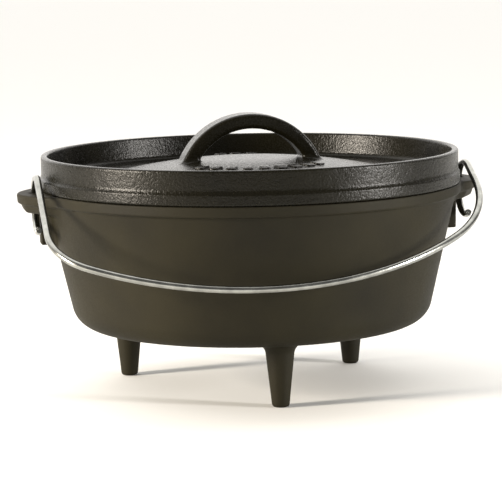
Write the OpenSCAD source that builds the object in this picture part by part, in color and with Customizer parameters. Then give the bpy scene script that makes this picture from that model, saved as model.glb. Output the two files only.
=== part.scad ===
// Camp dutch oven: a legged cast iron pot, a flanged cast iron lid and a steel wire bail.
// Millimetres. Z is up and Z = 0 is the ground under the feet. The pot's axis is X = Y = 0.
// The bail's ears lie on the X axis, and one leg stands at the front, towards -Y.

/* [Pot] */
// Radius of the rim band, the widest round of the bowl
rim_r = 144.5; // [120:0.5:175]
// Height of the bowl from its underside to its rim
bowl_h = 95.5; // [78:0.5:120]
// Height of the rim band
band_h = 7.5; // [5:0.5:11]
// How far the rim band stands out from the wall
band_step = 3.5; // [1.5:0.5:5]
// Slope of the wall from the vertical, in degrees
wall_draft = 12.8; // [8:0.2:15]
// Outside radius where the wall turns into the floor
corner_r = 16.8; // [12:0.2:24]
// Thickness of the wall
wall_t = 4.3; // [3.5:0.5:7]
// Thickness of the floor
floor_t = 4.8; // [4:0.5:8]

/* [Legs] */
// Number of legs
leg_n = 3; // [3:1:4]
// Height of the bowl's underside above the ground
leg_h = 42.7; // [30:0.5:60]
// Radius of the circle that the legs stand on
leg_circle_r = 93; // [70:1:100]
// Radius of a leg at the ground
leg_tip_r = 6; // [4.5:0.5:8]
// Radius of a leg where its flare starts
leg_root_r = 9.6; // [7:0.2:13]
// Radius of the flare between a leg and the bowl
leg_flare_r = 7; // [4:0.5:10]
// Radius on the edge of a foot
foot_edge_r = 2; // [1:0.5:3]

/* [Ears] */
// How far an ear reaches out from the rim band
ear_reach = 16.5; // [14:0.5:22]
// Thickness of an ear
ear_t = 13; // [10:0.5:16]
// Depth of the ear's top face below the rim
ear_drop = 0.7; // [0.5:0.1:3]
// Half width of the flat end of an ear
ear_nose = 7; // [4:0.5:9]
// Radius on the ear's outer corners
ear_corner_r = 6; // [4:0.5:8]
// Height of the ear's upper, full width step
ear_step_h = 7; // [4:0.5:9]
// How much narrower the ear is below the step
ear_step_in = 4; // [2:0.5:5]
// Room around the bail's wire in its hole
hole_gap = 0.8; // [0.6:0.1:1.5]
// Room between the bail's hole and the rim band
hole_wall = 0.3; // [0.3:0.1:2]
// Thickness of the gusset below an ear
rib_t = 12; // [8:0.5:16]
// Height of the gusset below an ear
rib_h = 22.5; // [15:0.5:32]
// Slope of the gusset's outer edge, as its set-back over its whole height
rib_set_back = 0.4; // [0:0.2:4]

/* [Lid] */
// Height of the lid from the rim to the top of its flange
lid_h = 23; // [19:0.5:30]
// How far the lid's lip is set in from the rim band
lip_in = 0.4; // [0.2:0.1:1.5]
// Height of the lip that covers the rim
lip_h = 7.9; // [6:0.1:10]
// How far the flange is set in from the lip
flange_in = 1.1; // [0.8:0.1:3]
// Thickness of the flange at its top
flange_t = 4.2; // [3:0.1:6]
// Height of the tray floor above the rim
tray_h = 6.3; // [5.5:0.1:8]
// Thickness of the lid's plate
plate_t = 4.3; // [3.5:0.1:5.5]
// Radius of the domed middle of the lid
dome_r = 103; // [80:1:112]
// Height of the dome above the tray floor
dome_h = 12.3; // [8:0.1:15]
// Gap between the lid and the rim that it rests on
seat_gap = 0.3; // [0.25:0.05:0.6]
// Depth of the locating ring below the rim
locate_h = 4.7; // [3:0.1:8]
// Thickness of the locating ring
locate_t = 5; // [3:0.5:7]
// Room between the locating ring and the inside of the bowl
locate_gap = 0.8; // [0.5:0.1:2]

/* [Lid handle] */
// Outside radius of the handle's arch
arch_r = 52.5; // [42:0.5:62]
// Height of the handle above the middle of the dome
arch_rise = 30; // [25:0.5:38]
// Thickness of the handle
arch_t = 10.4; // [7:0.2:12]
// Width of the handle, front to back
arch_w = 22; // [16:1:28]
// Radius on the edges of the handle
arch_edge_r = 3; // [2:0.5:3.4]
// Radius of the pad under each end of the handle
pad_r = 12.5; // [11:0.5:15]

/* [Bail] */
// Diameter of the bail's wire
wire_d = 4.76; // [3.5:0.01:5]
// Radius of the ring that each end of the wire is bent into
hook_r = 18; // [17.5:0.5:22]
// Turn of the hook's ring, in degrees
hook_turn = 234; // [200:1:250]
// Room between the bow and the lid as the bail swings past it
bail_gap = 2.6; // [1.5:0.1:8]
// Room between the wire and the ear inside the hook's ring
hook_gap = 0.5; // [0.4:0.1:1]
// Angle of the hanging bail from the vertical, in degrees
rest_angle = 62.8; // [58:0.1:80]
// Radius of the bow's long curve
bow_r = 210; // [195:1:300]
// Sideways shift of the bow's lowest point
bow_shift = -17; // [-20:1:20]
// Radius of the bow's left shoulder
left_shoulder_r = 45; // [35:1:60]
// Radius of the bow's right shoulder
right_shoulder_r = 86; // [60:1:95]

/* [Hidden] */
$fn = 96;
arc_steps = 10;   // straight pieces in an outline's small arc
sink = 3;         // how far a joined shape runs into what carries it

// Bowl
rim_z = leg_h + bowl_h;
band_z = rim_z - band_h;
band_ease = 1.2;
function wall_x(z) = rim_r - band_step - (band_z - z) * tan(wall_draft);
function inner_x(z) = wall_x(z) - wall_t / cos(wall_draft);
corner_z = leg_h + corner_r;
corner_x = wall_x(corner_z) - corner_r / cos(wall_draft);

// Ear, hole and hinge line of the bail
wire_r = wire_d / 2;
hook_sag = hook_r - sqrt(pow(hook_r, 2) - pow(ear_t / 2, 2));
hole_r = wire_r + hook_sag / 2 + hole_gap;
hook_x = rim_r + hole_r + hole_wall;
ear_top = rim_z - ear_drop;
ear_low = ear_top - ear_t;
hinge_y = hook_sag / 2 - hook_r;
hinge_z = ear_top - ear_t / 2;
ring_side_x = hook_x - wire_r - hook_gap;
ear_room_r = hook_r - wire_r - hook_gap;
ear_side_y = -hinge_y + sqrt(pow(ear_room_r, 2) - pow(ear_t / 2, 2));
rib_gap = 0.3;
rib_x = hook_x - wire_r - rib_gap;

// Lid and its handle
lip_r = rim_r - lip_in;
flange_r = lip_r - flange_in;
lid_top = rim_z + lid_h;
seat_z = rim_z + seat_gap;
cove_z = rim_z + lip_h;
cove_in = 0.6;
flange_flare = 1.6;
flange_ease = 1;
tray_z = rim_z + tray_h;
flange_foot_r = flange_r - flange_t - flange_flare;
dome_top = tray_z + dome_h;
dome_ball_r = (pow(dome_r, 2) + pow(dome_h, 2)) / (2 * dome_h);
dome_ball_z = dome_top - dome_ball_r;
dome_half = asin(dome_r / dome_ball_r);
under_ball_r = dome_ball_r - plate_t;
under_half = acos((tray_z - plate_t - dome_ball_z) / under_ball_r);
locate_z = rim_z - locate_h;
locate_r = inner_x(locate_z) - locate_gap;
arch_z = dome_top + arch_rise - arch_r;
pad_out = 2;
pad_taper = 3;
pad_h = 9;
arch_foot_x = sqrt(pow(arch_r - arch_t / 2, 2) - pow(dome_top - arch_z, 2)) + pad_out;

// Bail: the bow passes the farthest edge of the lid as it swings
pass_r = max(norm([lip_r + hinge_y, cove_z - hinge_z]), norm([flange_r + hinge_y, lid_top - hinge_z]));
bow_depth = sqrt(pow(pass_r + wire_r + bail_gap, 2) - pow(hook_r, 2));
bow_mid_z = bow_r - bow_depth;
joint_len = 4;
joint_short = 0.5;
joint_over = 0.12;
left_x = -hook_x + left_shoulder_r;
right_x = hook_x - right_shoulder_r;
left_z = bow_mid_z - sqrt(pow(bow_r - left_shoulder_r, 2) - pow(left_x - bow_shift, 2));
right_z = bow_mid_z - sqrt(pow(bow_r - right_shoulder_r, 2) - pow(right_x - bow_shift, 2));
left_a = 360 + atan2(left_z - bow_mid_z, left_x - bow_shift);
right_a = 360 + atan2(right_z - bow_mid_z, right_x - bow_shift);

// Points of an arc about [x, y], from angle a to angle b
function arc(x, y, r, a, b) =
    [for (i = [0 : arc_steps]) [x, y] + r * [cos(a + (b - a) * i / arc_steps), sin(a + (b - a) * i / arc_steps)]];

// Outside of the bowl, as a turned outline
module bowl_outside() {
    rotate_extrude()
        polygon(concat(
            [[0, leg_h]],
            arc(corner_x, corner_z, corner_r, -90, -wall_draft),
            [[wall_x(band_z), band_z], [rim_r, band_z + band_ease], [rim_r, rim_z], [0, rim_z]]));
}

// Inside of the bowl, cut past the rim
module bowl_inside() {
    inside_r = corner_r - wall_t;
    over_z = rim_z + sink;
    rotate_extrude()
        polygon(concat(
            [[0, leg_h + floor_t]],
            arc(corner_x, leg_h + floor_t + inside_r, inside_r, -90, -wall_draft),
            [[inner_x(over_z), over_z], [0, over_z]]));
}

// A tapered leg with a rounded foot and a flare under the bowl
module leg() {
    flare_x = leg_root_r + leg_flare_r;
    rotate_extrude()
        polygon(concat(
            [[0, 0]],
            arc(leg_tip_r - foot_edge_r, foot_edge_r, foot_edge_r, -90, 0),
            arc(flare_x, leg_h - leg_flare_r, leg_flare_r, 180, 90),
            [[flare_x, leg_h + sink / 2], [0, leg_h + sink / 2]]));
}

// Plan of an ear that reaches out to x = nose_x and is half as wide as side_y beside the hook
module ear_plan(nose_x, nose_y, side_y) {
    corner = [nose_x - ear_corner_r, nose_y];
    to_side = [ring_side_x, side_y] - corner;
    turn = atan2(to_side[1], to_side[0]) - acos(ear_corner_r / norm(to_side));
    flank = corner + ear_corner_r * [cos(turn), sin(turn)];
    root_x = rim_r - 2 * wall_t - sink;
    root_y = flank[1] + (flank[0] - root_x) / tan(turn);
    half = concat(arc(corner[0], corner[1], ear_corner_r, 0, turn), [[root_x, root_y]]);
    polygon(concat(half, [for (i = [len(half) - 1 : -1 : 0]) [half[i][0], -half[i][1]]]));
}

// An ear on the +X side with its gusset, before its hole is drilled
module ear() {
    nose_x = rim_r + ear_reach;
    translate([0, 0, ear_top - ear_step_h])
        linear_extrude(ear_step_h) ear_plan(nose_x, ear_nose, ear_side_y);
    translate([0, 0, ear_low])
        linear_extrude(ear_t)
            ear_plan(nose_x - ear_step_in, ear_nose - ear_step_in / 2, ear_side_y - ear_step_in);
    rib_low = ear_low - rib_h;
    translate([0, rib_t / 2, 0]) rotate([90, 0, 0])
        linear_extrude(rib_t)
            polygon([[wall_x(rib_low) - sink, rib_low], [rib_x - rib_set_back, rib_low],
                     [rib_x, ear_low], [rib_x, ear_low + sink], [wall_x(rib_low) - sink, ear_low + sink]]);
}

module ear_hole() {
    translate([hook_x, 0, ear_low - sink]) cylinder(h = ear_t + 2 * sink, r = hole_r);
}

module pot() {
    color([0.17, 0.16, 0.15])
        difference() {
            union() {
                bowl_outside();
                for (i = [0 : leg_n - 1])
                    rotate([0, 0, -90 + 360 / leg_n * i]) translate([leg_circle_r, 0, 0]) leg();
                for (side = [0, 1]) mirror([side, 0, 0]) ear();
            }
            bowl_inside();
            for (side = [0, 1]) mirror([side, 0, 0]) ear_hole();
        }
}

// Plate, flange, lip and locating ring of the lid, as one turned outline
module lid_plate() {
    rotate_extrude()
        polygon(concat(
            arc(0, dome_ball_z, under_ball_r, 90, 90 - under_half),
            [[locate_r - locate_t, tray_z - plate_t], [locate_r - locate_t, locate_z],
             [locate_r, locate_z], [locate_r, seat_z],
             [lip_r, seat_z], [lip_r, cove_z - cove_in * 2], [flange_r - cove_in, cove_z],
             [flange_r, lid_top], [flange_r - flange_t, lid_top],
             [flange_foot_r, tray_z + flange_ease], [flange_foot_r - flange_ease, tray_z]],
            arc(0, dome_ball_z, dome_ball_r, 90 - dome_half, 90)));
}

// Flat bar section of the handle with rounded edges, centred on the arch
module bar_section() {
    flat_t = arch_t - 2 * arch_edge_r;
    flat_w = arch_w - 2 * arch_edge_r;
    translate([arch_r - arch_t / 2, 0]) {
        square([flat_t, arch_w], center = true);
        square([arch_t, flat_w], center = true);
        for (x = [-1, 1], y = [-1, 1]) translate([x * flat_t / 2, y * flat_w / 2]) circle(arch_edge_r);
    }
}

// Arched handle with a pad under each end, cut off inside the lid's plate
module arch() {
    difference() {
        union() {
            translate([0, 0, arch_z]) rotate([90, 0, 0]) rotate_extrude(angle = 180) bar_section();
            for (side = [-1, 1])
                translate([side * arch_foot_x, 0, dome_top - pad_h])
                    cylinder(h = pad_h, r1 = pad_r, r2 = pad_r - pad_taper);
        }
        translate([0, 0, dome_ball_z]) sphere(dome_ball_r - plate_t / 2);
    }
}

module lid() {
    color([0.2, 0.19, 0.18]) {
        lid_plate();
        arch();
    }
}

// A bend of wire of radius r in the XZ plane, from angle a to angle b, a little short of both
module bend(r, a, b) {
    short = joint_short / r * 180 / PI;
    rotate([90, 0, 0]) rotate([0, 0, a + short])
        rotate_extrude(angle = b - a - 2 * short) translate([r, 0]) circle(wire_r);
}

// Short length of wire, a hair thicker, where one bend at angle a of its circle runs into the next
module joint(x, z, a) {
    translate([x, -hook_r, z]) rotate([0, -a, 0]) cylinder(h = joint_len, r = wire_r + joint_over, center = true);
}

// A straight leg of the bow, from the hook down to its shoulder
module bow_leg(x, z) {
    translate([x, -hook_r, z + joint_short]) cylinder(h = -z - 2 * joint_short, r = wire_r);
}

// Near-closed ring at an end of the wire, sheared off flat
module hook() {
    rotate([0, 0, -90]) bend(hook_r, 0, hook_turn);
}

module bail_handle() {
    color([0.75, 0.75, 0.74])
        translate([0, hinge_y, hinge_z]) rotate([-rest_angle, 0, 0]) {
            for (x = [-hook_x, hook_x]) {
                translate([x, 0, 0]) hook();
                joint(x, 0, 0);
            }
            bow_leg(-hook_x, left_z);
            joint(-hook_x, left_z, 180);
            translate([left_x, -hook_r, left_z]) bend(left_shoulder_r, 180, left_a);
            joint(bow_shift + bow_r * cos(left_a), bow_mid_z + bow_r * sin(left_a), left_a);
            translate([bow_shift, -hook_r, bow_mid_z]) bend(bow_r, left_a, right_a);
            joint(bow_shift + bow_r * cos(right_a), bow_mid_z + bow_r * sin(right_a), right_a);
            translate([right_x, -hook_r, right_z]) bend(right_shoulder_r, right_a, 360);
            joint(hook_x, right_z, 0);
            bow_leg(hook_x, right_z);
        }
}

pot();
lid();
bail_handle();
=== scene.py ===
"""Looks of a legged cast iron camp oven: pot, flanged lid and wire bail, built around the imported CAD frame.

Sizes are in millimetres up to the point where a mesh is made, and metres from there on.
Z = 0 is the ground, the pot's axis is X = Y = 0, and the bail's ears lie on the X axis.
"""

import math

import bmesh
import bpy
import numpy as np
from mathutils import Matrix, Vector


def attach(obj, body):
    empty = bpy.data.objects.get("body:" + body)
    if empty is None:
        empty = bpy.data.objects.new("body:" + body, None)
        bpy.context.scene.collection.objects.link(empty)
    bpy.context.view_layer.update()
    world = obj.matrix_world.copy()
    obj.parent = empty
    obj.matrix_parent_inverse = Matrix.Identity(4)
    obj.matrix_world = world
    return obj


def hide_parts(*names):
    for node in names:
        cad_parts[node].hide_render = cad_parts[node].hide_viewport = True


MM = 0.001

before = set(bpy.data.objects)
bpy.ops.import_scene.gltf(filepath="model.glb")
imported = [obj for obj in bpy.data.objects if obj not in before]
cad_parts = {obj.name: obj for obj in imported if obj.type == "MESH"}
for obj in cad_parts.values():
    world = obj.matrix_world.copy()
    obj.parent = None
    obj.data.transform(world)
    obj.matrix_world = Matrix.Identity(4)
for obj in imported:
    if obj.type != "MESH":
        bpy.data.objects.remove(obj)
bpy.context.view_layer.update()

# ---------------------------------------------------------------- sizes, as in the part's source

RIM_R, BOWL_H, BAND_H, BAND_STEP, BAND_EASE = 144.5, 95.5, 7.5, 3.5, 1.2
DRAFT = math.radians(12.8)
CORNER_R, WALL_T, FLOOR_T = 16.8, 4.3, 4.8
LEG_N, LEG_H, LEG_CIRCLE_R = 3, 42.7, 93.0
LEG_TIP_R, LEG_ROOT_R, LEG_FLARE_R, FOOT_EDGE_R = 6.0, 9.6, 7.0, 2.0
EAR_REACH, EAR_T, EAR_DROP, EAR_STEP_H, EAR_STEP_IN = 16.5, 13.0, 0.7, 7.0, 4.0
EAR_TIP_Y, EAR_ROOT_Y = 9.4, 30.8  # half widths of the ear's outline, at its tip and beside the hook
EAR_FLANK, EAR_ROOT = Vector((1.77, 1)).normalized(), Vector((0.73, 1)).normalized()  # outward directions
HOLE_GAP, HOLE_WALL = 0.8, 0.3
RIB_T, RIB_H, RIB_GAP, RIB_SET_BACK = 12.0, 22.5, 0.3, 0.4
LID_H, LIP_IN, LIP_H, FLANGE_IN, FLANGE_T, FLANGE_FLARE = 23.0, 0.4, 7.9, 1.1, 4.2, 1.6
TRAY_H, PLATE_T, DOME_R, DOME_H, SEAT_GAP = 6.3, 4.3, 103.0, 12.3, 0.3
LOCATE_H, LOCATE_T, LOCATE_GAP = 4.7, 5.0, 0.8
ARCH_R, ARCH_RISE, ARCH_T, ARCH_W, ARCH_EDGE_R, ARCH_FOOT_R = 52.5, 30.0, 10.4, 22.0, 3.0, 2.8
WIRE_R, HOOK_R, HOOK_TURN, BAIL_GAP = 2.38, 18.0, 234.0, 2.6
REST_ANGLE = math.radians(62.8)
BOW_R, BOW_SHIFT, LEFT_SHOULDER_R, RIGHT_SHOULDER_R = 210.0, -17.0, 45.0, 86.0

RIM_Z = LEG_H + BOWL_H
BAND_Z = RIM_Z - BAND_H
CORNER_Z = LEG_H + CORNER_R


def wall_x(z):
    """Outside radius of the bowl's wall at height z."""
    return RIM_R - BAND_STEP - (BAND_Z - z) * math.tan(DRAFT)


def inner_x(z):
    """Inside radius of the bowl's wall at height z."""
    return wall_x(z) - WALL_T / math.cos(DRAFT)


BAND_MID_Z, BAND_FILLET_R, RIM_EDGE_R = BAND_Z + BAND_EASE / 2, 2.0, 0.7
CORNER_X = wall_x(CORNER_Z) - CORNER_R / math.cos(DRAFT)
EAR_TOP = RIM_Z - EAR_DROP
EAR_LOW = EAR_TOP - EAR_T
HOOK_SAG = HOOK_R - math.sqrt(HOOK_R**2 - (EAR_T / 2) ** 2)
HOLE_R = WIRE_R + HOOK_SAG / 2 + HOLE_GAP
HOOK_X = RIM_R + HOLE_R + HOLE_WALL
HINGE_Y, HINGE_Z = HOOK_SAG / 2 - HOOK_R, EAR_TOP - EAR_T / 2
LIP_R = RIM_R - LIP_IN
FLANGE_R = LIP_R - FLANGE_IN
LID_TOP, SEAT_Z, COVE_Z, TRAY_Z = RIM_Z + LID_H, RIM_Z + SEAT_GAP, RIM_Z + LIP_H, RIM_Z + TRAY_H
DOME_TOP = TRAY_Z + DOME_H
DOME_BALL_R = (DOME_R**2 + DOME_H**2) / (2 * DOME_H)
DOME_BALL_Z = DOME_TOP - DOME_BALL_R
ARCH_Z = DOME_TOP + ARCH_RISE - ARCH_R


# ---------------------------------------------------------------- camera

CAMERA_AT = (-0.2919, -1.5178, 0.3009)
CAMERA_TURN, CAMERA_TILT, CAMERA_ROLL = 10.88, 7.73, -1.069
CAMERA_LENS = 161.7


def add_camera():
    """The view from a little left of the front and a little above the lid, with a long lens."""
    turn, tilt, roll = (math.radians(a) for a in (CAMERA_TURN, CAMERA_TILT, CAMERA_ROLL))
    ahead = Vector((math.cos(tilt) * math.sin(turn), math.cos(tilt) * math.cos(turn), -math.sin(tilt)))
    level = Vector((math.cos(turn), -math.sin(turn), 0))
    above = level.cross(ahead)
    side = level * math.cos(roll) + above * math.sin(roll)
    up = above * math.cos(roll) - level * math.sin(roll)
    camera = bpy.data.objects.new("camera", bpy.data.cameras.new("camera"))
    bpy.context.collection.objects.link(camera)
    camera.data.lens = CAMERA_LENS
    camera.data.sensor_width = 36
    for row in range(3):
        for column, axis in enumerate((side, up, -ahead, Vector(CAMERA_AT))):
            camera.matrix_world[row][column] = axis[row]
    bpy.context.scene.camera = camera


# ---------------------------------------------------------------- turned shapes


def eased(points, steps=6, spacing=5.0, guard=0.6):
    """An outline of (radius, height, ease): each corner is rounded to its ease, and long runs are divided."""
    corners = []
    for i, (r, z, ease) in enumerate(points):
        here = np.array([r, z])
        if ease == 0:
            corners.append([here])
            continue
        before = np.array(points[i - 1][:2]) - here
        after = np.array(points[i + 1][:2]) - here
        before, after = before / np.hypot(*before), after / np.hypot(*after)
        half = math.acos(np.clip(before @ after, -1, 1)) / 2
        middle = here + (before + after) / np.hypot(*(before + after)) * ease / math.sin(half)
        first = here + before * ease / math.tan(half) - middle
        last = here + after * ease / math.tan(half) - middle
        a = math.atan2(first[1], first[0])
        turn = (math.atan2(last[1], last[0]) - a + math.pi) % (2 * math.pi) - math.pi
        count = max(steps, int(abs(turn) * ease / 1.5))
        angles = a + turn * np.linspace(0, 1, count + 1)
        corners.append([middle + ease * np.array([math.cos(t), math.sin(t)]) for t in angles])
    line = [corners[0][0]]
    for points_here, points_next in zip(corners, corners[1:]):
        line += points_here[1:]
        start, end = points_here[-1], points_next[0]
        length = np.hypot(*(end - start))
        if length > 4 * guard:
            inner = np.linspace(guard, length - guard, max(2, int(length / spacing) + 1))
            line += [start + (end - start) * d / length for d in inner]
        line.append(end)
    return line + corners[-1][1:]


def mesh_object(name, points, faces):
    """A smooth-shaded object from points in millimetres, with its faces turned outwards."""
    mesh = bpy.data.meshes.new(name)
    mesh.from_pydata((np.asarray(points) * MM).tolist(), [], faces)
    piece = bpy.data.objects.new(name, mesh)
    bpy.context.collection.objects.link(piece)
    shape = bmesh.new()
    shape.from_mesh(mesh)
    bmesh.ops.remove_doubles(shape, verts=shape.verts, dist=1e-6)
    bmesh.ops.recalc_face_normals(shape, faces=shape.faces)
    shape.to_mesh(mesh)
    shape.free()
    mesh.shade_smooth()
    return piece


def turned(name, outline, segments=288):
    """A closed turned shape. The outline starts and ends on the axis."""
    angles = np.arange(segments) * 2 * math.pi / segments
    across, along = np.cos(angles), np.sin(angles)
    rings = [np.column_stack([r * across, r * along, np.full(segments, z)]) for r, z in outline[1:-1]]
    points = np.vstack([[[0, 0, outline[0][1]]]] + rings + [[[0, 0, outline[-1][1]]]])
    faces = []
    last = len(points) - 1
    top = last - segments
    for i in range(segments):
        j = (i + 1) % segments
        faces.append((0, 1 + i, 1 + j))
        faces.append((last, top + j, top + i))
        for k in range(len(rings) - 1):
            a = 1 + k * segments
            faces.append((a + i, a + segments + i, a + segments + j, a + j))
    return mesh_object(name, points, faces)


# ---------------------------------------------------------------- cast shapes, as distance fields


def round_union(a, b, r):
    """Joins two fields with a fillet of radius r."""
    fillet = np.hypot(np.maximum(r - a, 0), np.maximum(r - b, 0))
    return np.maximum(r, np.minimum(a, b)) - fillet


def round_cut(a, b, r):
    """What two fields share, with its edge rounded to radius r."""
    edge = np.hypot(np.maximum(r + a, 0), np.maximum(r + b, 0))
    return np.minimum(-r, np.maximum(a, b)) + edge


def cast_mesh(field, low, high, cell):
    """A closed mesh around where field(x, y, z) is negative.

    Each cell that the surface crosses gets one point, and the point is then moved onto the surface.
    """
    axes = [np.arange(a - 1.5 * cell, b + 2 * cell, cell) for a, b in zip(low, high)]
    value = np.full([len(a) for a in axes], float(cell))
    core = tuple(slice(1, -1) for _ in axes)
    value[core] = field(*np.meshgrid(*(a[1:-1] for a in axes), indexing="ij"))
    cells = np.array(value.shape) - 1
    total, count = np.zeros((*cells, 3)), np.zeros(cells)
    crossings = []
    for axis in range(3):
        u, v = (axis + 1) % 3, (axis + 2) % 3
        here = np.take(value, range(value.shape[axis] - 1), axis)
        after = np.take(value, range(1, value.shape[axis]), axis)
        place = np.argwhere((here < 0) != (after < 0))
        at = tuple(place.T)
        point = place.astype(float)
        point[:, axis] += here[at] / (here[at] - after[at])
        around = []
        for du, dv in ((0, 0), (-1, 0), (-1, -1), (0, -1)):
            near = place.copy()
            near[:, u] += du
            near[:, v] += dv
            around.append(near)
            np.add.at(total, tuple(near.T), point)
            np.add.at(count, tuple(near.T), 1)
        crossings.append((around, here[at] < 0))
    used = np.argwhere(count > 0)
    number = np.zeros(cells, int)
    number[tuple(used.T)] = np.arange(len(used))
    faces = []
    for around, outward in crossings:
        quads = np.stack([number[tuple(near.T)] for near in around], axis=1)
        quads[~outward] = quads[~outward][:, ::-1]
        faces.append(quads)
    points = total[tuple(used.T)] / count[tuple(used.T)][:, None] * cell + [a[0] for a in axes]
    step = cell / 20
    for _ in range(3):
        slope = np.empty_like(points)
        for axis in range(3):
            shift = np.zeros(3)
            shift[axis] = step
            slope[:, axis] = (field(*(points + shift).T) - field(*(points - shift).T)) / (2 * step)
        move = (field(*points.T) / np.maximum((slope**2).sum(1), 0.2))[:, None] * slope
        points -= np.clip(move, -cell / 2, cell / 2)
    return points, np.vstack(faces)


def bowl_field(x, y, z):
    """Outside of the bowl with its rim band."""
    rho = np.hypot(x, y)
    u, v = rho - CORNER_X, z - CORNER_Z
    body = np.maximum((rho - wall_x(z)) * math.cos(DRAFT), LEG_H - z)
    corner = (v < 0) & (np.arctan2(v, u) > -math.pi / 2) & (np.arctan2(v, u) < -DRAFT)
    body = np.where(corner, np.hypot(u, v) - CORNER_R, body)
    band = round_cut(rho - RIM_R, BAND_MID_Z - z, BAND_EASE)
    return round_cut(round_union(body, band, BAND_FILLET_R), z - RIM_Z, RIM_EDGE_R)


FINE_CELL, LEG_CELL = 0.85, 0.95  # cell sizes of the cast meshes
SKIN = 0.12  # how far an added casting shape stays under the bowl's own skin, away from what it adds


def within_wall(added, base, wall):
    """Keeps an added shape to the outer part of the wall that carries it."""
    return np.maximum(added + SKIN, -base - wall / 2)


def ear_field(x, y, z):
    """A bail ear on the +X side: a flat slab on a narrower hull, with a gusset and a hole for the hook."""
    tip_x, side = RIM_R + EAR_REACH, np.abs(y)
    plan = round_cut(x - tip_x, (x - tip_x) * EAR_FLANK.x + (side - EAR_TIP_Y) * EAR_FLANK.y, 6)
    plan = round_cut(plan, (x - HOOK_X) * EAR_ROOT.x + (side - EAR_ROOT_Y) * EAR_ROOT.y, 3)
    slab = round_cut(plan + 0.12 * (EAR_TOP - z), z - EAR_TOP, 1.4)
    slab = round_cut(slab, EAR_TOP - EAR_STEP_H - z, 1.6)
    hull = plan + EAR_STEP_IN - 1 + 0.45 * (EAR_TOP - EAR_STEP_H - z)
    hull = round_cut(hull, EAR_LOW - z, 2.4)
    ear = round_union(slab, np.maximum(hull, z - EAR_TOP + 3), 1.0)
    edge = HOOK_X - WIRE_R - RIB_GAP - RIB_SET_BACK * (EAR_LOW - z) / RIB_H
    rib = round_cut(side - RIB_T / 2, x - edge, 1.2)
    rib = round_cut(rib, EAR_LOW - RIB_H - z, 1.2)
    bowl = bowl_field(x, y, z)
    ear = round_union(np.maximum(ear, RIM_R - 15 - x), np.maximum(rib, z - EAR_TOP + 3), 1.2)
    solid = round_cut(round_union(bowl, ear, 3.5), z - RIM_Z, RIM_EDGE_R)
    hole = np.maximum(np.hypot(x - HOOK_X, y) - HOLE_R, EAR_LOW - 7 - z)
    solid = round_cut(solid, -hole, 0.8)
    return within_wall(solid, bowl, WALL_T)


def leg_field(x, y, z):
    """The leg on the +X side of the ring of legs, flared into the bowl's underside."""
    taper = (LEG_ROOT_R - LEG_TIP_R) / (LEG_H - LEG_FLARE_R - FOOT_EDGE_R)
    radius = LEG_TIP_R + (z - FOOT_EDGE_R) * taper
    side = (np.hypot(x - LEG_CIRCLE_R, y) - radius) / math.hypot(1, taper)
    leg = round_cut(side, -z, FOOT_EDGE_R)
    bowl = bowl_field(x, y, z)
    return within_wall(round_union(bowl, leg, LEG_FLARE_R), bowl, FLOOR_T)


def handle_field(x, y, z):
    """The lid's arched handle with its feet swept out over the dome."""
    ring = np.abs(np.hypot(x, z - ARCH_Z) - (ARCH_R - ARCH_T / 2)) - ARCH_T / 2
    bar = round_cut(ring, np.abs(y) - ARCH_W / 2, ARCH_EDGE_R)
    dome = np.sqrt(x**2 + y**2 + (z - DOME_BALL_Z) ** 2) - DOME_BALL_R
    return within_wall(round_union(dome, np.maximum(bar, ARCH_Z - z), ARCH_FOOT_R), dome, PLATE_T)


def placed(points, faces, angle=0.0, flip=False):
    """A copy of a cast mesh, mirrored to the -X side and turned about Z."""
    copy = points * [-1, 1, 1] if flip else points.copy()
    c, s = math.cos(angle), math.sin(angle)
    return copy @ np.array([[c, s, 0], [-s, c, 0], [0, 0, 1]]), faces[:, ::-1] if flip else faces


def gathered(name, parts):
    """One object from several (points, faces)."""
    points, faces, start = [], [], 0
    for p, f in parts:
        points.append(p)
        faces += (f + start).tolist()
        start += len(p)
    return mesh_object(name, np.vstack(points), faces)


def as_mesh(piece):
    """The piece with its modifiers worked into a plain mesh."""
    graph = bpy.context.evaluated_depsgraph_get()
    mesh = bpy.data.meshes.new_from_object(piece.evaluated_get(graph))
    piece.modifiers.clear()
    piece.data = mesh
    return piece


def cast_together(base, *added):
    """Unites the added shapes with the base, as one casting."""
    for shape in added:
        union = base.modifiers.new("cast", "BOOLEAN")
        union.operation, union.solver, union.object = "UNION", "MANIFOLD", shape
    as_mesh(base)
    for shape in added:
        bpy.data.objects.remove(shape)
    base.data.shade_smooth()
    return base


# ---------------------------------------------------------------- materials


def linear(hex_colour):
    """An sRGB hex colour as linear RGBA."""
    parts = [int(hex_colour[i : i + 2], 16) / 255 for i in (1, 3, 5)]
    return (*[c / 12.92 if c <= 0.04045 else ((c + 0.055) / 1.055) ** 2.4 for c in parts], 1.0)


def add(tree, kind, values=(), **settings):
    """Adds a node with its settings, and sets or links its inputs."""
    node = tree.nodes.new(kind)
    for key, value in settings.items():
        setattr(node, key, value)
    for socket, value in dict(values).items():
        if isinstance(value, bpy.types.NodeSocket):
            tree.links.new(value, node.inputs[socket])
        else:
            node.inputs[socket].default_value = value
    return node


def per_metre(mm):
    """Noise scale for features about this many millimetres apart."""
    return 1 / (mm * MM)


BLOTCH_MM, WAVE_MM = 55.0, 14.0  # spacing of the oil's blotches, and of the mould's unevenness
COARSE_GRAIN = 3.1  # the coarser grain is this many times the finer one
LINE_LENGTH_MM, LINE_GAP_MM = 25.0, 0.35  # the drawing lines on the wire
CLOUD_MM = 9.0  # spacing of the patches in the plating


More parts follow.
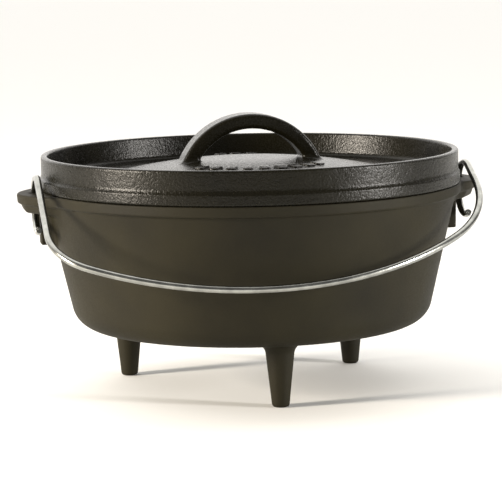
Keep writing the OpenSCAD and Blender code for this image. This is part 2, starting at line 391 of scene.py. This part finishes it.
def cast_iron(name, dark, light, roughness, grain_mm, grain_depth, wave_depth, specular):
    """Seasoned sand-cast iron.

    Oil is baked on in thin coats, nearly black and warm, in faint blotches of two tones. The sand
    leaves a grain that breaks up the gloss, and the mould leaves a slow unevenness. The grain is
    drawn coarser than real sand, so that it shows.
    """
    material = bpy.data.materials.new(name)
    material.use_nodes = True
    tree = material.node_tree
    shader = tree.nodes["Principled BSDF"]
    place = add(tree, "ShaderNodeTexCoord").outputs["Object"]

    def noise(size_mm, detail):
        return add(tree, "ShaderNodeTexNoise", {
            "Vector": place, "Scale": per_metre(size_mm), "Detail": detail}).outputs[0]

    blotch, wave = noise(BLOTCH_MM, 3.0), noise(WAVE_MM, 2.0)
    grain, coarse = noise(grain_mm, 4.0), noise(grain_mm * COARSE_GRAIN, 2.0)
    ramp = add(tree, "ShaderNodeValToRGB", {"Fac": blotch})
    ramp.color_ramp.elements[0].position, ramp.color_ramp.elements[0].color = 0.3, linear(dark)
    ramp.color_ramp.elements[1].position, ramp.color_ramp.elements[1].color = 0.7, linear(light)
    gloss = add(tree, "ShaderNodeMapRange", {"Value": grain, "From Min": 0.3, "From Max": 0.7,
                                             "To Min": roughness - 0.07, "To Max": roughness + 0.09})
    swell = add(tree, "ShaderNodeBump", {"Height": wave, "Distance": wave_depth * MM, "Strength": 1.0})
    pits = add(tree, "ShaderNodeBump", {"Height": coarse, "Distance": grain_depth * MM, "Strength": 0.7,
                                        "Normal": swell.outputs[0]})
    sand = add(tree, "ShaderNodeBump", {"Height": grain, "Distance": grain_depth * MM, "Strength": 1.0,
                                        "Normal": pits.outputs[0]})
    shader.inputs["Specular IOR Level"].default_value = specular
    tree.links.new(ramp.outputs[0], shader.inputs["Base Color"])
    tree.links.new(gloss.outputs[0], shader.inputs["Roughness"])
    tree.links.new(sand.outputs[0], shader.inputs["Normal"])
    return material


def plated_wire(name):
    """Zinc plating on drawn steel wire.

    The die leaves fine lines along the wire, drawn coarser than real so that they show, and the
    plating is a soft silver with cloudy patches.
    """
    material = bpy.data.materials.new(name)
    material.use_nodes = True
    tree = material.node_tree
    shader = tree.nodes["Principled BSDF"]
    along = add(tree, "ShaderNodeTexCoord").outputs["UV"]
    place = add(tree, "ShaderNodeTexCoord").outputs["Object"]
    drawn = add(tree, "ShaderNodeMapping", {
        "Vector": along, "Scale": (1 / LINE_LENGTH_MM, 1 / LINE_GAP_MM, 1)})
    lines = add(tree, "ShaderNodeTexNoise", {
        "Vector": drawn.outputs[0], "Scale": 1.0, "Detail": 2.0}).outputs[0]
    cloud = add(tree, "ShaderNodeTexNoise", {
        "Vector": place, "Scale": per_metre(CLOUD_MM), "Detail": 3.0}).outputs[0]
    ramp = add(tree, "ShaderNodeValToRGB", {"Fac": cloud})
    ramp.color_ramp.elements[0].position, ramp.color_ramp.elements[0].color = 0.35, linear("#8B8C88")
    ramp.color_ramp.elements[1].position, ramp.color_ramp.elements[1].color = 0.7, linear("#A8A9A4")
    gloss = add(tree, "ShaderNodeMapRange", {"Value": cloud, "From Min": 0.3, "From Max": 0.7,
                                             "To Min": 0.17, "To Max": 0.24})
    bump = add(tree, "ShaderNodeBump", {"Height": lines, "Distance": 0.006 * MM, "Strength": 0.4})
    shader.inputs["Metallic"].default_value = 1.0
    tree.links.new(ramp.outputs[0], shader.inputs["Base Color"])
    tree.links.new(gloss.outputs[0], shader.inputs["Roughness"])
    tree.links.new(bump.outputs[0], shader.inputs["Normal"])
    return material


POT_IRON = cast_iron("seasoned_cast_iron_smooth", "#1B1911", "#252216", 0.6, 0.9, 0.06, 0.12, 0.12)
LID_IRON = cast_iron("seasoned_cast_iron_sand_grained", "#0D0C07", "#15130A", 0.26, 1.3, 0.26, 0.04, 0.17)
WIRE = plated_wire("zinc_plated_steel_wire")


# ---------------------------------------------------------------- pot


def build_pot():
    """The bowl is turned, and its legs and ears are cast onto it."""
    knee_x = wall_x(LEG_H)
    floor_z = LEG_H + FLOOR_T
    outline = eased([
        (0, LEG_H, 0),
        (knee_x, LEG_H, CORNER_R),
        (wall_x(BAND_MID_Z), BAND_MID_Z, BAND_FILLET_R),
        (RIM_R, BAND_MID_Z, BAND_EASE),
        (RIM_R, RIM_Z, RIM_EDGE_R),
        (inner_x(RIM_Z), RIM_Z, RIM_EDGE_R),
        (inner_x(floor_z), floor_z, CORNER_R - WALL_T),
        (0, floor_z, 0),
    ])
    pot = turned("pot_casting", outline)
    ear_low, ear_high = (128, -56, 98), (163, 56, RIM_Z)
    ear = cast_mesh(ear_field, ear_low, ear_high, FINE_CELL)
    flare = LEG_ROOT_R + LEG_FLARE_R + 4
    leg_low, leg_high = (LEG_CIRCLE_R - flare, -flare, 0), (LEG_CIRCLE_R + flare, flare, LEG_H + 4)
    leg = cast_mesh(leg_field, leg_low, leg_high, LEG_CELL)
    front = -math.pi / 2
    legs = [placed(*leg, front + 2 * math.pi * i / LEG_N) for i in range(LEG_N)]
    added = gathered("ears_and_legs", [placed(*ear), placed(*ear, flip=True), *legs])
    return cast_together(pot, added)


# ---------------------------------------------------------------- lid

MARK_R, MARK_STEP = 53.0, 12.0  # radius of the row of cast marks, and their spacing in degrees
MARK_SIZE = (7.0, 9.5, 2.2)  # across the row, along the radius, and in height with half of it buried
MARK_ROWS = ((9, -90), (3, 90))  # how many marks, and the angle of the middle one: front, then back


def mark_nodes():
    """Geometry nodes that set a row of plain raised blocks on the dome, around the axis."""
    tree = bpy.data.node_groups.new("cast_marks", "GeometryNodeTree")
    named = (("Count", "NodeSocketInt"), ("Middle", "NodeSocketFloat"), ("Step", "NodeSocketFloat"),
             ("Radius", "NodeSocketFloat"), ("Ball Radius", "NodeSocketFloat"),
             ("Ball Height", "NodeSocketFloat"), ("Block Size", "NodeSocketVector"),
             ("Material", "NodeSocketMaterial"))
    for name, kind in named:
        tree.interface.new_socket(name, in_out="INPUT", socket_type=kind)
    tree.interface.new_socket("Geometry", in_out="OUTPUT", socket_type="NodeSocketGeometry")
    given = add(tree, "NodeGroupInput").outputs

    def reckon(operation, a, b=0.0):
        return add(tree, "ShaderNodeMath", {0: a, 1: b}, operation=operation).outputs[0]

    index = add(tree, "GeometryNodeInputIndex").outputs[0]
    centre = reckon("DIVIDE", reckon("SUBTRACT", given["Count"], 1.0), 2.0)
    offset = reckon("MULTIPLY", reckon("SUBTRACT", index, centre), given["Step"])
    angle = reckon("ADD", given["Middle"], offset)
    tilt = reckon("ARCSINE", reckon("DIVIDE", given["Radius"], given["Ball Radius"]))
    rise = reckon("MULTIPLY", given["Ball Radius"], reckon("COSINE", tilt))
    height = reckon("ADD", given["Ball Height"], rise)
    spot = add(tree, "ShaderNodeCombineXYZ", {
        0: reckon("MULTIPLY", given["Radius"], reckon("COSINE", angle)),
        1: reckon("MULTIPLY", given["Radius"], reckon("SINE", angle)),
        2: height})
    lean = add(tree, "ShaderNodeCombineXYZ", {1: tilt, 2: angle})
    points = add(tree, "GeometryNodePoints", {"Count": given["Count"], "Position": spot.outputs[0]})
    block = add(tree, "GeometryNodeMeshCube", {"Size": given["Block Size"]})
    soft = add(tree, "GeometryNodeSubdivisionSurface", {
        "Mesh": block.outputs[0], "Level": 2, "Edge Crease": 0.55})
    row = add(tree, "GeometryNodeInstanceOnPoints", {
        "Points": points.outputs[0], "Instance": soft.outputs[0], "Rotation": lean.outputs[0]})
    real = add(tree, "GeometryNodeRealizeInstances", {"Geometry": row.outputs[0]})
    done = add(tree, "GeometryNodeSetMaterial", {"Geometry": real.outputs[0], "Material": given["Material"]})
    tree.links.new(done.outputs[0], add(tree, "NodeGroupOutput").inputs[0])
    return tree


def cast_marks(tree, count, middle):
    """One row of raised blocks, centred on the given angle in degrees."""
    row = bpy.data.objects.new("marks", bpy.data.meshes.new("marks"))
    bpy.context.collection.objects.link(row)
    nodes = row.modifiers.new("marks", "NODES")
    nodes.node_group = tree
    width, length, height = MARK_SIZE
    inputs = {"Count": count, "Middle": math.radians(middle), "Step": math.radians(MARK_STEP),
              "Radius": MARK_R * MM, "Ball Radius": DOME_BALL_R * MM, "Ball Height": DOME_BALL_Z * MM,
              "Block Size": (length * MM, width * MM, height * MM), "Material": LID_IRON}
    for item in tree.interface.items_tree:
        if item.in_out == "INPUT":
            nodes[item.identifier] = inputs[item.name]
    return as_mesh(row)


def build_lid():
    """The plate, lip and flange are turned, and the handle and marks are cast onto them."""
    under_r, under_z = DOME_BALL_R - PLATE_T, TRAY_Z - PLATE_T
    under_end = math.acos((under_z - DOME_BALL_Z) / under_r)
    dome_end = math.asin(DOME_R / DOME_BALL_R)
    locate_r = inner_x(RIM_Z - LOCATE_H) - LOCATE_GAP
    foot_r = FLANGE_R - FLANGE_T - FLANGE_FLARE

    def ball(radius, start, end):
        angles = np.linspace(start, end, 22)
        return [(radius * math.sin(a), DOME_BALL_Z + radius * math.cos(a), 0) for a in angles]

    outline = eased(
        ball(under_r, 0, under_end)
        + [(locate_r - LOCATE_T, under_z, 2), (locate_r - LOCATE_T, RIM_Z - LOCATE_H, 1),
           (locate_r, RIM_Z - LOCATE_H, 1), (locate_r, SEAT_Z, 0.8),
           (LIP_R, SEAT_Z, 1.2), (LIP_R, COVE_Z - 0.6, 1.6), (FLANGE_R, COVE_Z + 1.6, 5),
           (FLANGE_R, LID_TOP, 1.5), (FLANGE_R - FLANGE_T, LID_TOP, 1.5), (foot_r, TRAY_Z, 3.5)]
        + ball(DOME_BALL_R, dome_end, 0))
    lid = turned("lid_casting", outline)
    reach = ARCH_R + 12
    low, high = (-reach, -ARCH_W / 2 - 8, DOME_TOP - 12), (reach, ARCH_W / 2 + 8, DOME_TOP + ARCH_RISE)
    handle = gathered("handle", [cast_mesh(handle_field, low, high, FINE_CELL)])
    tree = mark_nodes()
    marks = [cast_marks(tree, count, middle) for count, middle in MARK_ROWS]
    return cast_together(lid, handle, *marks)


# ---------------------------------------------------------------- bail


def bail_path(step=1.6):
    """Middle line of the wire from end to end, bent in the bail's own plane and then laid at rest."""
    lip = math.hypot(LIP_R + HINGE_Y, COVE_Z - HINGE_Z)
    flange = math.hypot(FLANGE_R + HINGE_Y, LID_TOP - HINGE_Z)
    depth = math.sqrt((max(lip, flange) + WIRE_R + BAIL_GAP) ** 2 - HOOK_R**2)
    middle_z = BOW_R - depth
    left_x, right_x = -HOOK_X + LEFT_SHOULDER_R, HOOK_X - RIGHT_SHOULDER_R
    left_z = middle_z - math.sqrt((BOW_R - LEFT_SHOULDER_R) ** 2 - (left_x - BOW_SHIFT) ** 2)
    right_z = middle_z - math.sqrt((BOW_R - RIGHT_SHOULDER_R) ** 2 - (right_x - BOW_SHIFT) ** 2)
    left_a = 2 * math.pi + math.atan2(left_z - middle_z, left_x - BOW_SHIFT)
    right_a = 2 * math.pi + math.atan2(right_z - middle_z, right_x - BOW_SHIFT)
    turn = math.radians(HOOK_TURN)

    def bend(x, z, radius, a, b):
        angles = np.linspace(a, b, max(3, int(abs(b - a) * radius / step)))
        return [(x + radius * math.cos(t), -HOOK_R, z + radius * math.sin(t)) for t in angles]

    def hook(x, a, b):
        angles = np.linspace(a, b, int(turn * HOOK_R / step))
        return [(x, -HOOK_R * math.cos(t), HOOK_R * math.sin(t)) for t in angles]

    def leg(x, a, b):
        return [(x, -HOOK_R, z) for z in np.linspace(a, b, max(3, int(abs(b - a) / (4 * step))))]

    line = (hook(-HOOK_X, turn, 0) + leg(-HOOK_X, 0, left_z)[1:]
            + bend(left_x, left_z, LEFT_SHOULDER_R, math.pi, left_a)[1:]
            + bend(BOW_SHIFT, middle_z, BOW_R, left_a, right_a)[1:]
            + bend(right_x, right_z, RIGHT_SHOULDER_R, right_a, 2 * math.pi)[1:]
            + leg(HOOK_X, right_z, 0)[1:] + hook(HOOK_X, 0, turn)[1:])
    x, y, z = np.array(line).T
    c, s = math.cos(REST_ANGLE), math.sin(REST_ANGLE)
    return np.column_stack([x, HINGE_Y + y * c + z * s, HINGE_Z - y * s + z * c])


def build_bail(sides=28, shear=0.45):
    """The wire swept along its path, with its sheared ends slightly rounded over."""
    path = bail_path()
    ahead = np.gradient(path, axis=0)
    ahead /= np.linalg.norm(ahead, axis=1)[:, None]
    side = np.cross(ahead[0], [1.0, 0, 0])
    angles = np.arange(sides) * 2 * math.pi / sides
    run = np.concatenate([[0], np.cumsum(np.linalg.norm(np.diff(path, axis=0), axis=1))])
    rings, runs = [], []

    def ring(centre, across, along, radius, length):
        up = np.cross(along, across)
        rings.append(centre + radius * (np.outer(np.cos(angles), across) + np.outer(np.sin(angles), up)))
        runs.append(length)

    for i, (centre, along) in enumerate(zip(path, ahead)):
        side = side - along * (side @ along)
        side = side / np.linalg.norm(side)
        if i in (0, len(path) - 1):
            outward = -1 if i == 0 else 1
            order = (0, 1, 2, 3) if i == 0 else (3, 2, 1, 0)
            for k in order:
                t = math.pi / 2 * k / 3
                back = shear * (1 - math.cos(t))
                ring(centre - along * outward * back, side, along, WIRE_R - shear * (1 - math.sin(t)), run[i])
        else:
            ring(centre, side, along, WIRE_R, run[i])
    points = np.vstack([path[:1]] + rings + [path[-1:]])
    count, last = len(rings), len(points) - 1
    faces = [(0, 1 + (j + 1) % sides, 1 + j) for j in range(sides)]
    for k in range(count - 1):
        a = 1 + k * sides
        for j in range(sides):
            after = (j + 1) % sides
            faces.append((a + j, a + after, a + sides + after, a + sides + j))
    top = last - sides
    faces += [(last, top + j, top + (j + 1) % sides) for j in range(sides)]
    wire = mesh_object("bail_wire", points, faces)
    layer = wire.data.uv_layers.new(name="UVMap")
    around = 2 * math.pi * WIRE_R / sides
    for face in wire.data.polygons:
        spots = [(v - 1) % sides for v in face.vertices]
        wraps = max(spots) - min(spots) > sides / 2
        for loop, spot in zip(face.loop_indices, spots):
            vertex = wire.data.loops[loop].vertex_index
            length = runs[min(max((vertex - 1) // sides, 0), count - 1)]
            turn = spot + sides if wraps and spot < sides / 2 else spot
            layer.data[loop].uv = (length, turn * around)
    return wire


def finish(piece, node, body, material):
    """Gives a finished piece its material and its body, and hides the CAD node that it stands for."""
    piece.data.materials.clear()
    piece.data.materials.append(material)
    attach(piece, body)
    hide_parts(node)


# ---------------------------------------------------------------- studio


BOX_DISTANCE = 1.9
SOFT_BOXES = (  # name, degrees round from the camera towards +X, height, size, watts, colour
    ("left_box", -70, 0.5, (0.26, 0.6), 76, "#FFF4E4"),
    ("right_box", 69, 0.38, (0.16, 0.6), 42, "#FFFBF6"),
)


def add_soft_box(name, angle, height, size, power, colour):
    """A soft box aimed at the middle of the oven."""
    data = bpy.data.lights.new(name, "AREA")
    data.shape, data.size, data.size_y = "RECTANGLE", size[0], size[1]
    data.energy, data.color = power, linear(colour)[:3]
    light = bpy.data.objects.new(name, data)
    bpy.context.collection.objects.link(light)
    bearing = math.radians(angle - CAMERA_TURN)
    light.location = (BOX_DISTANCE * math.sin(bearing), -BOX_DISTANCE * math.cos(bearing), height)
    light.rotation_euler = (Vector((0, 0, 0.1)) - light.location).to_track_quat("-Z", "Y").to_euler()


def add_studio():
    """A pale floor, a surround that is bright overhead and behind and dim in front, and two soft boxes."""
    floor_mesh = bpy.data.meshes.new("floor")
    reach, sides = 40.0, 64
    angles = [2 * math.pi * i / sides for i in range(sides)]
    ring = [(reach * math.cos(a), reach * math.sin(a), 0) for a in angles]
    floor_mesh.from_pydata(ring, [], [tuple(range(sides))])
    floor = bpy.data.objects.new("floor", floor_mesh)
    bpy.context.collection.objects.link(floor)
    paint = bpy.data.materials.new("pale_matt_floor")
    paint.use_nodes = True
    shader = paint.node_tree.nodes["Principled BSDF"]
    shader.inputs["Base Color"].default_value = linear("#F6F6F4")
    shader.inputs["Roughness"].default_value = 0.9
    shader.inputs["Specular IOR Level"].default_value = 0.1
    floor_mesh.materials.append(paint)

    world = bpy.data.worlds.new("studio")
    bpy.context.scene.world = world
    world.use_nodes = True
    tree = world.node_tree
    way = add(tree, "ShaderNodeSeparateXYZ", {0: add(tree, "ShaderNodeTexCoord").outputs["Generated"]})
    rise = add(tree, "ShaderNodeMath", {0: way.outputs["Y"], 1: way.outputs["Z"]}, operation="ADD").outputs[0]
    glow = add(tree, "ShaderNodeMapRange", {"Value": rise, "From Min": 0.6, "From Max": 1.05,
                                            "To Min": 0.22, "To Max": 2.0})
    background = tree.nodes["Background"]
    background.inputs["Color"].default_value = linear("#FFFCF8")
    tree.links.new(glow.outputs[0], background.inputs["Strength"])
    for box in SOFT_BOXES:
        add_soft_box(*box)


# ---------------------------------------------------------------- put together

bpy.context.scene.view_settings.view_transform = "Standard"
add_camera()
add_studio()
finish(build_pot(), "pot", "pot_body", POT_IRON)
finish(build_lid(), "lid", "lid_body", LID_IRON)
finish(build_bail(), "bail_handle", "bail_body", WIRE)
